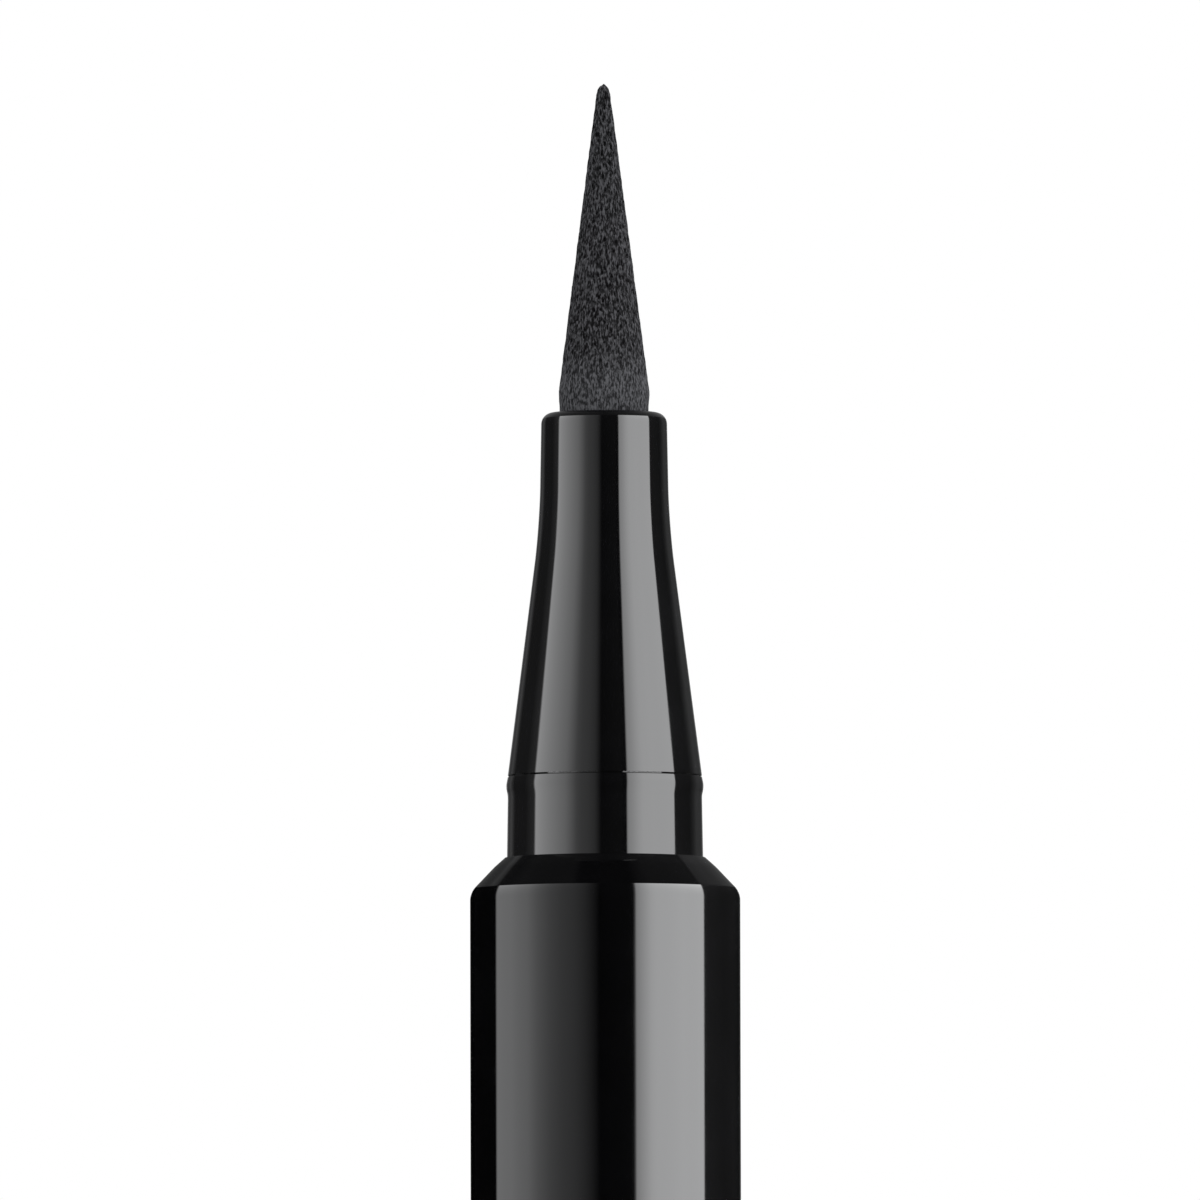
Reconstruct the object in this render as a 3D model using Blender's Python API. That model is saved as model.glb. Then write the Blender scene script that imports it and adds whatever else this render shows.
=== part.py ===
"""A felt-tip liquid eyeliner pen, standing tip up on its own posted cap.

The pen is a free-ink one. A sealed inner barrel holds the ink and two mixing balls. A finned
collector behind the nozzle meters the ink, and a fibre wick carries it to the felt tip. The
outer barrel is a glossy sleeve over the inner one, which shows only as the collar with the
click bead. The tail plug repeats that collar, so the cap snaps on at either end.

Metres, +Z up. The origin is the centre of the cap's flat end, which the pen stands on.
"""

import math

import bmesh
import bpy
from mathutils import Vector

MM = 0.001

# How finely round pieces are cut
SIDES = 40
INNER_SIDES = 24
ROUND_STEPS = 3
BLEND_STEPS = 5
BALL_RINGS = 9

# Gaps that separate pieces have in common
FIT_GAP = 0.08 * MM
SEAT_GAP = 0.1 * MM
SEAM_GAP = 0.06 * MM
CUT_OVERRUN = 0.5 * MM
EDGE_ROUND = 0.15 * MM

# Fibre wick
WICK_DIAMETER = 2.0 * MM
WICK_IN_TIP = 1.8 * MM
WICK_IN_TANK = 3.0 * MM
WICK_CHAMFER = 0.15 * MM

# Felt tip
TIP_DIAMETER = 3.56 * MM
TIP_STRAIGHT = 0.86 * MM
TIP_CONE = 12.32 * MM
TIP_POINT = 0.48 * MM
TIP_POINT_LENGTH = 0.34 * MM
TIP_REAR_CHAMFER = 0.2 * MM

# Tip holder: a grooved bush that centres tip and wick inside the nozzle
HOLDER_WALL = 0.48 * MM
HOLDER_LENGTH = 7.9 * MM
HOLDER_SEAT = 2.7 * MM
AIR_GROOVES = 3
AIR_GROOVE_WIDTH = 0.7 * MM
AIR_GROOVE_DEPTH = 0.22 * MM

# Nozzle, from its crest down to the seam with the collar, and its plug below that
NOZZLE_LENGTH = 14.52 * MM
NOZZLE_TIP_WALL = 0.64 * MM
NOZZLE_CREST_ROUND = 0.35 * MM
NOZZLE_HEAD = 3.0 * MM
NOZZLE_HEAD_DRAFT = 0.055 * MM
NOZZLE_BLEND = 3.0 * MM
NOZZLE_LAND = 8.3 * MM
NOZZLE_PLUG = 7.2 * MM
NOZZLE_PLUG_WALL = 0.75 * MM
NOZZLE_RIB_RISE = 0.04 * MM
NOZZLE_RIB_WIDTH = 0.5 * MM
NOZZLE_RIB_PLACE = 1.6 * MM

# Ink collector
COLLECTOR_DISC = 1.0 * MM
COLLECTOR_CORE_WALL = 0.8 * MM
FIN_COUNT = 13
FIN_PITCH = 1.5 * MM
FIN_THICKNESS = 0.7 * MM
SEAL_COLLAR = 3.0 * MM
SEAL_RIBS = 2
SEAL_RIB_RISE = 0.04 * MM
SEAL_RIB_WIDTH = 0.5 * MM
INK_SLOT = 0.4 * MM
AIR_SLOT = 0.9 * MM
SLOT_FLOOR = 0.4 * MM

# Inner barrel: the ink tank, its neck and the collar that shows above the outer barrel
TANK_WALL = 1.05 * MM
TANK_BASE = 1.2 * MM
NECK_WALL = 0.67 * MM
COLLAR_DRAFT = 0.04 * MM
COLLAR_LENGTH = 2.46 * MM
BEAD_RISE = 0.06 * MM
BEAD_LENGTH = 0.76 * MM
BEAD_RAMP_SHARE = 0.3

# Outer barrel
BARREL_LENGTH = 88.0 * MM
BARREL_WALL = 1.02 * MM
MOUTH_DEPTH = 2.0 * MM
SHOULDER_ROUND = 0.7 * MM

# Mixing balls, side by side on the floor of the tank
BALL_DIAMETER = 2.5 * MM
BALL_SPACE = 0.2 * MM

# Tail plug: it closes the outer barrel and carries the collar that the cap is posted on
TAIL_DEPTH = 5.0 * MM
TAIL_RING = 1.5 * MM
TAIL_WALL = 0.9 * MM
TAIL_END = 1.2 * MM
SPIGOT_LENGTH = 7.0 * MM
SPIGOT_STEP = 0.2 * MM
SPIGOT_ROUND = 0.6 * MM

# Cap, its snap liner, the sprung sealing cup inside it and the spring
LINER_WALL = 0.4 * MM
LINER_LEAD_DEPTH = 0.3 * MM
LINER_LEAD_WIDTH = 0.25 * MM
SNAP_CLEARANCE = 0.04 * MM
SNAP_RING_RISE = 0.12 * MM
SNAP_RING_LENGTH = 0.7 * MM
SNAP_RAMP_SHARE = 0.3
CAP_END = 1.6 * MM
CAP_END_ROUND = 0.8 * MM
CUP_SEAL_DEPTH = 4.45 * MM
CUP_PRESS = 1.0 * MM
CUP_CLEARANCE = 0.05 * MM
CUP_WALL = 0.6 * MM
CUP_END = 0.8 * MM
CUP_FLANGE = 0.8 * MM
CUP_MOUTH_CHAMFER = 0.25 * MM
TIP_CLEARANCE = 0.8 * MM
SPRING_SPACE = 5.3 * MM
SPRING_WIRE = 0.4 * MM
SPRING_TURNS = 5
SPRING_TURN_POINTS = 10
BOSS_DIAMETER = 3.8 * MM
BOSS_HEIGHT = 0.9 * MM

# Radii, worked out from the wick and the tip outwards
WICK_R = WICK_DIAMETER / 2
WICK_HOLE_R = WICK_R + FIT_GAP
TIP_R = TIP_DIAMETER / 2
TIP_HOLE_R = TIP_R + FIT_GAP
HOLDER_R = TIP_HOLE_R + HOLDER_WALL
NOZZLE_HEAD_R = TIP_HOLE_R + NOZZLE_TIP_WALL
NOZZLE_HEAD_BASE_R = NOZZLE_HEAD_R + NOZZLE_HEAD_DRAFT
NOZZLE_BORE_R = HOLDER_R + FIT_GAP
NOZZLE_PLUG_R = NOZZLE_BORE_R + NOZZLE_PLUG_WALL
TANK_R = NOZZLE_PLUG_R + FIT_GAP
TANK_BODY_R = TANK_R + TANK_WALL
NECK_R = TANK_R + NECK_WALL
COLLAR_TOP_R = NECK_R - COLLAR_DRAFT
BEAD_R = COLLAR_TOP_R + BEAD_RISE
MOUTH_R = NECK_R + SEAM_GAP
BARREL_BORE_R = TANK_BODY_R + FIT_GAP
BARREL_R = BARREL_BORE_R + BARREL_WALL
CORE_R = WICK_HOLE_R + COLLECTOR_CORE_WALL
FIN_R = TANK_R - FIT_GAP
BALL_R = BALL_DIAMETER / 2
LINER_BORE_R = BEAD_R + SNAP_CLEARANCE + SNAP_RING_RISE
LINER_R = LINER_BORE_R + LINER_WALL
CAP_BORE_R = LINER_R + FIT_GAP
CUP_BORE_R = NOZZLE_HEAD_BASE_R + CUP_CLEARANCE
CUP_R = CUP_BORE_R + CUP_WALL
BOSS_R = BOSS_DIAMETER / 2
SPRING_R = BOSS_R + FIT_GAP + SPRING_WIRE / 2

# The 45 degree shoulder, the same on the barrel's front and on the tail plug
SHOULDER_EDGE_R = BARREL_R - SHOULDER_ROUND * (1 - math.cos(math.radians(45)))
SHOULDER_CONE = SHOULDER_EDGE_R - MOUTH_R
SHOULDER_HEIGHT = SHOULDER_CONE + SHOULDER_ROUND * math.sin(math.radians(45))

# Distances from a shoulder's seat, where its collar starts, along the collar and beyond
BEAD_END = COLLAR_LENGTH + BEAD_LENGTH
NOZZLE_BASE = BEAD_END + SEAM_GAP
NOZZLE_CREST = NOZZLE_BASE + NOZZLE_LENGTH
TIP_APEX = NOZZLE_CREST + TIP_STRAIGHT + TIP_CONE
CUP_MOUTH = NOZZLE_CREST - CUP_SEAL_DEPTH - CUP_PRESS
CUP_FLOOR = TIP_APEX + TIP_CLEARANCE
CUP_BACK = CUP_FLOOR + CUP_END
CAP_FLOOR = CUP_BACK + SPRING_SPACE

# Heights in the standing pen, from the cap's flat end up
TAIL_SEAT_Z = CAP_FLOOR + CAP_END
TAIL_FACE_Z = TAIL_SEAT_Z + SHOULDER_HEIGHT + TAIL_RING
BARREL_REAR_Z = TAIL_FACE_Z + SEAM_GAP
SEAT_Z = BARREL_REAR_Z + BARREL_LENGTH
TANK_BOTTOM_Z = TAIL_FACE_Z + TAIL_DEPTH + SEAT_GAP
TANK_FLOOR_Z = TANK_BOTTOM_Z + TANK_BASE
NOZZLE_BASE_Z = SEAT_Z + NOZZLE_BASE
CREST_Z = SEAT_Z + NOZZLE_CREST
NOZZLE_STEP_Z = CREST_Z - NOZZLE_LAND
NOZZLE_END_Z = NOZZLE_BASE_Z - NOZZLE_PLUG
HOLDER_TOP_Z = NOZZLE_STEP_Z - SEAT_GAP
HOLDER_SEAT_Z = HOLDER_TOP_Z - HOLDER_SEAT
HOLDER_END_Z = HOLDER_TOP_Z - HOLDER_LENGTH
TIP_REAR_Z = HOLDER_SEAT_Z + SEAT_GAP
COLLECTOR_TOP_Z = HOLDER_END_Z - SEAT_GAP
DISC_TOP_Z = NOZZLE_END_Z - SEAT_GAP
DISC_END_Z = DISC_TOP_Z - COLLECTOR_DISC
FINS_END_Z = DISC_END_Z - (FIN_COUNT + 1) * FIN_PITCH
COLLECTOR_END_Z = FINS_END_Z - SEAL_COLLAR
WICK_TOP_Z = TIP_REAR_Z + WICK_IN_TIP
WICK_END_Z = COLLECTOR_END_Z - WICK_IN_TANK


def clear_scene():
    for old in list(bpy.data.objects):
        bpy.data.objects.remove(old)


def finish(name, colour, roughness, metallic=0.0):
    """A Principled material."""
    material = bpy.data.materials.new(name)
    material.use_nodes = True
    shader = material.node_tree.nodes["Principled BSDF"]
    shader.inputs["Base Color"].default_value = (*colour, 1)
    shader.inputs["Roughness"].default_value = roughness
    shader.inputs["Metallic"].default_value = metallic
    return material


def body(name, parent=None):
    """An empty that carries the pieces which move together."""
    carrier = bpy.data.objects.new(name, None)
    bpy.context.scene.collection.objects.link(carrier)
    carrier.parent = parent
    return carrier


def placed(name, mesh, material, carrier):
    """Links a mesh as an object on its carrier, smooth across its round faces."""
    mesh.materials.append(material)
    mesh.shade_smooth()
    mesh.set_sharp_from_angle(angle=math.radians(30))
    piece = bpy.data.objects.new(name, mesh)
    bpy.context.scene.collection.objects.link(piece)
    piece.parent = carrier
    return piece


def arc(centre, radius, start, end, steps=ROUND_STEPS):
    """Points on a fillet, as (distance from the axis, height), from one angle in degrees to another."""
    turn = [math.radians(start + (end - start) * i / steps) for i in range(steps + 1)]
    return [(centre[0] + radius * math.cos(a), centre[1] + radius * math.sin(a)) for a in turn]


def turned(name, outline, material, carrier, sides=SIDES):
    """A turned solid. The outline is a loop of (radius, height), or runs from the axis back to it."""
    work = bmesh.new()
    corners = [work.verts.new((radius, 0, height)) for radius, height in outline]
    on_axis = outline[0][0] == 0 and outline[-1][0] == 0
    following = corners[1:] if on_axis else corners[1:] + corners[:1]
    edges = [work.edges.new(pair) for pair in zip(corners, following)]
    bmesh.ops.spin(work, geom=corners + edges, cent=(0, 0, 0), axis=(0, 0, 1),
                   angle=math.tau, steps=sides, use_merge=True)
    bmesh.ops.remove_doubles(work, verts=work.verts, dist=SEAM_GAP / 100)
    bmesh.ops.recalc_face_normals(work, faces=work.faces)
    mesh = bpy.data.meshes.new(name)
    work.to_mesh(mesh)
    work.free()
    return placed(name, mesh, material, carrier)


def cut(piece, cutter):
    """Cuts a piece with a helper that stays out of renders."""
    cutter.hide_render = True
    cutter.display_type = "WIRE"
    difference = piece.modifiers.new("cut by " + cutter.name, "BOOLEAN")
    difference.operation = "DIFFERENCE"
    difference.object = cutter


def box_cutter(name, low, high, turn=0.0):
    """A box from one corner to the other, turned about Z by an angle in radians."""
    work = bmesh.new()
    bmesh.ops.create_cube(work, size=1)
    middle = (Vector(low) + Vector(high)) / 2
    size = Vector(high) - Vector(low)
    for corner in work.verts:
        corner.co = middle + corner.co * size
    mesh = bpy.data.meshes.new(name)
    work.to_mesh(mesh)
    work.free()
    cutter = bpy.data.objects.new(name, mesh)
    bpy.context.scene.collection.objects.link(cutter)
    cutter.rotation_euler.z = turn
    return cutter


def collar_outline(seat, way):
    """The collar and its click bead, from a shoulder's seat outwards. way is 1 upwards, -1 down."""
    bead_start = seat + way * COLLAR_LENGTH
    bead_end = seat + way * BEAD_END
    ramp = way * BEAD_LENGTH * BEAD_RAMP_SHARE
    return [
        (NECK_R, seat),
        (COLLAR_TOP_R, bead_start),
        (BEAD_R, bead_start + ramp),
        (BEAD_R, bead_end - ramp),
        (COLLAR_TOP_R, bead_end),
    ]


def shoulder_outline(seat, way):
    """From the start of the full diameter to the seat of the collar. way is 1 if the collar is above."""
    centre = (BARREL_R - SHOULDER_ROUND, seat - way * SHOULDER_HEIGHT)
    return arc(centre, SHOULDER_ROUND, 0, way * 45) + [(MOUTH_R, seat)]


def outer_barrel(gloss, pen):
    """The glossy sleeve, open at the rear, with the mouth that the collar passes through."""
    step = SEAT_Z - MOUTH_DEPTH
    rear_centre = (BARREL_R - EDGE_ROUND, BARREL_REAR_Z + EDGE_ROUND)
    outline = arc(rear_centre, EDGE_ROUND, -90, 0)
    outline += shoulder_outline(SEAT_Z, 1)
    outline += [
        (MOUTH_R, step),
        (BARREL_BORE_R, step),
        (BARREL_BORE_R, BARREL_REAR_Z),
    ]
    return turned("outer_barrel", outline, gloss, pen)


def inner_barrel(gloss, pen):
    """The ink tank: a closed tube whose neck passes the mouth and shows as the collar."""
    step = SEAT_Z - MOUTH_DEPTH - SEAT_GAP
    base_centre = (TANK_BODY_R - TANK_WALL, TANK_BOTTOM_Z + TANK_WALL)
    outline = [(0, TANK_BOTTOM_Z)]
    outline += arc(base_centre, TANK_WALL, -90, 0)
    outline += [(TANK_BODY_R, step), (NECK_R, step)]
    outline += collar_outline(SEAT_Z, 1)
    outline += [
        (TANK_R, SEAT_Z + BEAD_END),
        (TANK_R, TANK_FLOOR_Z),
        (0, TANK_FLOOR_Z),
    ]
    return turned("inner_barrel", outline, gloss, pen)


def nozzle_blend():
    """The hollow curve between the nozzle's head and its cone, as points going up."""
    top = Vector((NOZZLE_HEAD_BASE_R, CREST_Z - NOZZLE_HEAD))
    foot = Vector((COLLAR_TOP_R, NOZZLE_BASE_Z))
    reach = NOZZLE_BLEND / 2
    bend = top + Vector((NOZZLE_HEAD_DRAFT / NOZZLE_HEAD, -1)) * reach
    start = bend + (foot - bend) * reach / (bend.y - foot.y)
    shares = [i / BLEND_STEPS for i in range(BLEND_STEPS + 1)]
    points = [start * (1 - s) ** 2 + bend * 2 * s * (1 - s) + top * s ** 2 for s in shares]
    return [tuple(point) for point in points]


def nozzle(gloss, pen):
    """The tapered front, plugged into the neck of the tank, with the hole that holds the tip."""
    crest_centre = (NOZZLE_HEAD_R - NOZZLE_CREST_ROUND, CREST_Z - NOZZLE_CREST_ROUND)
    rib = NOZZLE_END_Z + NOZZLE_RIB_PLACE
    outline = [
        (NOZZLE_BORE_R, NOZZLE_END_Z),
        (NOZZLE_PLUG_R - EDGE_ROUND, NOZZLE_END_Z),
        (NOZZLE_PLUG_R, NOZZLE_END_Z + EDGE_ROUND),
        (NOZZLE_PLUG_R, rib),
        (NOZZLE_PLUG_R + NOZZLE_RIB_RISE, rib + NOZZLE_RIB_WIDTH / 2),
        (NOZZLE_PLUG_R, rib + NOZZLE_RIB_WIDTH),
        (NOZZLE_PLUG_R, NOZZLE_BASE_Z),
        (COLLAR_TOP_R, NOZZLE_BASE_Z),
    ]
    outline += nozzle_blend()
    outline += arc(crest_centre, NOZZLE_CREST_ROUND, 0, 90)
    outline += [
        (TIP_HOLE_R + EDGE_ROUND, CREST_Z),
        (TIP_HOLE_R, CREST_Z - EDGE_ROUND),
        (TIP_HOLE_R, NOZZLE_STEP_Z),
        (NOZZLE_BORE_R, NOZZLE_STEP_Z),
    ]
    return turned("nozzle", outline, gloss, pen)


def fibre_tip(felt, pen):
    """The felt tip: a long blunt cone on a round shank, with a socket for the wick behind."""
    cone_base = CREST_Z + TIP_STRAIGHT
    apex = cone_base + TIP_CONE
    socket = WICK_TOP_Z + SEAT_GAP
    turns = [math.radians(90 * i / ROUND_STEPS) for i in range(ROUND_STEPS)]
    outline = [
        (0, socket),
        (WICK_HOLE_R, socket),
        (WICK_HOLE_R, TIP_REAR_Z),
        (TIP_R - TIP_REAR_CHAMFER, TIP_REAR_Z),
        (TIP_R, TIP_REAR_Z + TIP_REAR_CHAMFER),
        (TIP_R, cone_base),
    ]
    outline += [
        (TIP_POINT / 2 * math.cos(a), apex - TIP_POINT_LENGTH * (1 - math.sin(a)))
        for a in turns
    ]
    outline += [(0, apex)]
    return turned("fibre_tip", outline, felt, pen)


def tip_holder(natural, pen):
    """The bush inside the nozzle. Its grooves let air past the tip into the collector."""
    outline = [
        (WICK_HOLE_R, HOLDER_END_Z),
        (HOLDER_R - EDGE_ROUND, HOLDER_END_Z),
        (HOLDER_R, HOLDER_END_Z + EDGE_ROUND),
        (HOLDER_R, HOLDER_TOP_Z),
        (TIP_HOLE_R, HOLDER_TOP_Z),
        (TIP_HOLE_R, HOLDER_SEAT_Z),
        (WICK_HOLE_R, HOLDER_SEAT_Z),
    ]
    holder = turned("tip_holder", outline, natural, pen, INNER_SIDES)
    for i in range(AIR_GROOVES):
        low = (HOLDER_R - AIR_GROOVE_DEPTH, -AIR_GROOVE_WIDTH / 2, HOLDER_END_Z - CUT_OVERRUN)
        high = (HOLDER_R + CUT_OVERRUN, AIR_GROOVE_WIDTH / 2, HOLDER_TOP_Z + CUT_OVERRUN)
        cut(holder, box_cutter(f"air_groove_{i + 1}", low, high, math.tau * i / AIR_GROOVES))
    return holder


def feed_wick(fibre, pen):
    """The fibre rod that runs from the ink, through the collector, into the tip."""
    outline = [
        (0, WICK_END_Z),
        (WICK_R - WICK_CHAMFER, WICK_END_Z),
        (WICK_R, WICK_END_Z + WICK_CHAMFER),
        (WICK_R, WICK_TOP_Z - WICK_CHAMFER),
        (WICK_R - WICK_CHAMFER, WICK_TOP_Z),
        (0, WICK_TOP_Z),
    ]
    return turned("feed_wick", outline, fibre, pen, INNER_SIDES)


def ink_collector(natural, pen):
    """A finned core between tank and nozzle, with an ink slot on one side and an air slot on the other."""
    outline = [
        (WICK_HOLE_R, COLLECTOR_END_Z),
        (FIN_R, COLLECTOR_END_Z),
    ]
    for i in range(SEAL_RIBS):
        middle = COLLECTOR_END_Z + SEAL_COLLAR * (i + 1) / (SEAL_RIBS + 1)
        outline += [
            (FIN_R, middle - SEAL_RIB_WIDTH / 2),
            (FIN_R + SEAL_RIB_RISE, middle),
            (FIN_R, middle + SEAL_RIB_WIDTH / 2),
        ]
    outline += [(FIN_R, FINS_END_Z), (CORE_R, FINS_END_Z)]
    for i in range(FIN_COUNT):
        fin_end = FINS_END_Z + FIN_PITCH * (i + 1) - FIN_THICKNESS / 2
        outline += [
            (CORE_R, fin_end),
            (FIN_R, fin_end),
            (FIN_R, fin_end + FIN_THICKNESS),
            (CORE_R, fin_end + FIN_THICKNESS),
        ]
    outline += [
        (CORE_R, DISC_END_Z),
        (FIN_R, DISC_END_Z),
        (FIN_R, DISC_TOP_Z),
        (HOLDER_R, DISC_TOP_Z),
        (HOLDER_R, COLLECTOR_TOP_Z),
        (WICK_HOLE_R, COLLECTOR_TOP_Z),
    ]
    collector = turned("ink_collector", outline, natural, pen, INNER_SIDES)
    slot_floor = WICK_HOLE_R + SLOT_FLOOR
    cut(collector, box_cutter(
        "ink_slot",
        (-INK_SLOT / 2, slot_floor, COLLECTOR_END_Z - CUT_OVERRUN),
        (INK_SLOT / 2, FIN_R + CUT_OVERRUN, DISC_END_Z),
    ))
    cut(collector, box_cutter(
        "air_slot",
        (-AIR_SLOT / 2, -FIN_R - CUT_OVERRUN, FINS_END_Z + (FIN_PITCH - FIN_THICKNESS) / 2),
        (AIR_SLOT / 2, -CORE_R - SEAT_GAP, DISC_TOP_Z + CUT_OVERRUN),
    ))
    return collector


def mixing_ball(number, steel, pen):
    """One of two steel balls that stir the ink, on its own carrier at its resting place."""
    side = 1 if number == 1 else -1
    carrier = body(f"ball_{number}_travel", pen)
    carrier.location = (side * (BALL_R + BALL_SPACE / 2), 0, TANK_FLOOR_Z + SEAT_GAP + BALL_R)
    turns = [math.radians(-90 + 180 * i / BALL_RINGS) for i in range(1, BALL_RINGS)]
    outline = [(0, -BALL_R)]
    outline += [(BALL_R * math.cos(a), BALL_R * math.sin(a)) for a in turns]
    outline += [(0, BALL_R)]
    return turned(f"mixing_ball_{number}", outline, steel, carrier, INNER_SIDES)


def tail_plug(gloss, pen):
    """The rear closure: a plug in the barrel, a ring that shows, and the collar for the posted cap."""
    top = TAIL_FACE_Z + TAIL_DEPTH
    end = TAIL_SEAT_Z - SPIGOT_LENGTH
    plug_r = BARREL_BORE_R - FIT_GAP
    nose_r = COLLAR_TOP_R - SPIGOT_STEP
    ring_centre = (BARREL_R - EDGE_ROUND, TAIL_FACE_Z - EDGE_ROUND)
    nose_centre = (nose_r - SPIGOT_ROUND, end + SPIGOT_ROUND)
    collar = collar_outline(TAIL_SEAT_Z, -1)
    outline = [(0, end)]
    outline += arc(nose_centre, SPIGOT_ROUND, -90, 0)
    outline += [(nose_r, TAIL_SEAT_Z - BEAD_END)]
    outline += collar[::-1]
    outline += shoulder_outline(TAIL_SEAT_Z, -1)[::-1]
    outline += arc(ring_centre, EDGE_ROUND, 0, 90)
    outline += [
        (plug_r, TAIL_FACE_Z),
        (plug_r, top - EDGE_ROUND),
        (plug_r - EDGE_ROUND, top),
        (plug_r - TAIL_WALL, top),
        (plug_r - TAIL_WALL, TAIL_FACE_Z),
        (nose_r - TAIL_WALL, TAIL_SEAT_Z),
        (nose_r - TAIL_WALL, end + TAIL_END),
        (0, end + TAIL_END),
    ]
    return turned("tail_plug", outline, gloss, pen)


def posted(height):
    """The height, in the standing pen, of a place on the cap given by its distance from the seat."""
    return TAIL_SEAT_Z - height


def cap_shell(gloss):
    """The glossy cap, closed end down. Its rim is countersunk to sit on either shoulder."""
    end_centre = (BARREL_R - CAP_END_ROUND, CAP_END_ROUND)
    cone_gap = SEAT_GAP * math.sqrt(2)
    rim = posted(cone_gap) + SHOULDER_CONE
    mouth = posted(cone_gap) + CAP_BORE_R - MOUTH_R
    outline = [(0, 0)]
    outline += arc(end_centre, CAP_END_ROUND, -90, 0, ROUND_STEPS + 1)
    outline += [
        (BARREL_R, rim - EDGE_ROUND),
        (SHOULDER_EDGE_R, rim),
        (CAP_BORE_R, mouth),
        (CAP_BORE_R, posted(CAP_FLOOR)),
        (BOSS_R, posted(CAP_FLOOR)),
        (BOSS_R, posted(CAP_FLOOR) + BOSS_HEIGHT),
        (0, posted(CAP_FLOOR) + BOSS_HEIGHT),
    ]
    return turned("cap_shell", outline, gloss, None)


def cap_liner(satin):
    """The sleeve pressed into the cap. Its ring snaps past the bead, and its end holds the cup in."""
    ring_end = posted(COLLAR_LENGTH) + SEAT_GAP
    ring_top = ring_end + SNAP_RING_LENGTH
    ring_r = LINER_BORE_R - SNAP_RING_RISE
    ramp = SNAP_RING_LENGTH * SNAP_RAMP_SHARE
    top = posted(0)
    bottom = posted(CUP_MOUTH) + SEAT_GAP
    outline = [
        (LINER_BORE_R, bottom),
        (LINER_R, bottom),
        (LINER_R, top),
        (LINER_BORE_R + LINER_LEAD_WIDTH, top),
        (LINER_BORE_R, top - LINER_LEAD_DEPTH),
        (LINER_BORE_R, ring_top),
        (ring_r, ring_top - ramp),
        (ring_r, ring_end + ramp),
        (LINER_BORE_R, ring_end),
    ]
    return turned("cap_liner", outline, satin, None)


def inner_cap(natural, carrier):
    """The sprung cup that closes over the nozzle's head and keeps the tip wet."""
    mouth = posted(CUP_MOUTH)
    flange = mouth - CUP_FLANGE
    back = posted(CUP_BACK)
    flange_r = CAP_BORE_R - FIT_GAP
    back_centre = (CUP_R - CUP_WALL, back + CUP_WALL)
    outline = [
        (0, back - BOSS_HEIGHT),
        (BOSS_R, back - BOSS_HEIGHT),
        (BOSS_R, back),
    ]
    outline += arc(back_centre, CUP_WALL, -90, 0)
    outline += [
        (CUP_R, flange),
        (flange_r, flange),
        (flange_r, mouth),
        (CUP_BORE_R + CUP_MOUTH_CHAMFER, mouth),
        (CUP_BORE_R, mouth - CUP_MOUTH_CHAMFER),
        (CUP_BORE_R, posted(CUP_FLOOR)),
        (0, posted(CUP_FLOOR)),
    ]
    return turned("inner_cap", outline, natural, carrier)


def cap_spring(steel):
    """The coil between the cap's floor and the cup, one unbroken helix."""
    start = posted(CAP_FLOOR) + SEAT_GAP + SPRING_WIRE / 2
    end = posted(CUP_BACK) - SEAT_GAP - SPRING_WIRE / 2
    count = SPRING_TURNS * SPRING_TURN_POINTS
    path = []
    for i in range(count + 1):
        turn = math.tau * i / SPRING_TURN_POINTS
        height = start + (end - start) * i / count
        path.append(Vector((SPRING_R * math.cos(turn), SPRING_R * math.sin(turn), height)))
    line = bpy.data.curves.new("cap_spring", "CURVE")
    line.dimensions = "3D"
    line.bevel_depth = SPRING_WIRE / 2
    line.bevel_resolution = 1
    line.use_fill_caps = True
    spline = line.splines.new("POLY")
    spline.points.add(len(path) - 1)
    for point, place in zip(spline.points, path):
        point.co = (*place, 1)
    line.materials.append(steel)
    coil = bpy.data.objects.new("cap_spring", line)
    bpy.context.scene.collection.objects.link(coil)
    gaps = [
        (path[i] - path[k]).length - SPRING_WIRE
        for i in range(len(path))
        for k in range(i + SPRING_TURN_POINTS // 2, len(path))
    ]
    print(f"least gap between the spring's turns: {min(gaps) / MM:.2f} mm")
    return coil


def build():
    clear_scene()
    gloss = finish("gloss black", (0.006, 0.006, 0.007), 0.05)
    satin = finish("satin black", (0.012, 0.012, 0.013), 0.4)
    natural = finish("natural plastic", (0.72, 0.73, 0.7), 0.45)
    felt = finish("charcoal felt", (0.035, 0.036, 0.039), 0.9)
    fibre = finish("inked fibre", (0.05, 0.05, 0.055), 0.85)
    steel = finish("steel", (0.62, 0.62, 0.63), 0.22, 1.0)

    cap_shell(gloss)
    cap_liner(satin)
    cap_spring(steel)
    inner_cap(natural, body("cup_press"))

    pen = body("pen_lift")
    outer_barrel(gloss, pen)
    inner_barrel(gloss, pen)
    nozzle(gloss, pen)
    fibre_tip(felt, pen)
    tip_holder(natural, pen)
    feed_wick(fibre, pen)
    ink_collector(natural, pen)
    tail_plug(gloss, pen)
    for number in (1, 2):
        mixing_ball(number, steel, pen)


build()
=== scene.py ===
"""The looks of a felt-tip liquid eyeliner pen, standing tip up on its own posted cap.

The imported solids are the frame. Every piece is modelled finely over its solid, at the same size
and place, and moves with the same body. Metres, +Z up, the cap's flat end on the floor.
"""

import math

import bmesh
import bpy
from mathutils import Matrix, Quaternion, Vector


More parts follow.
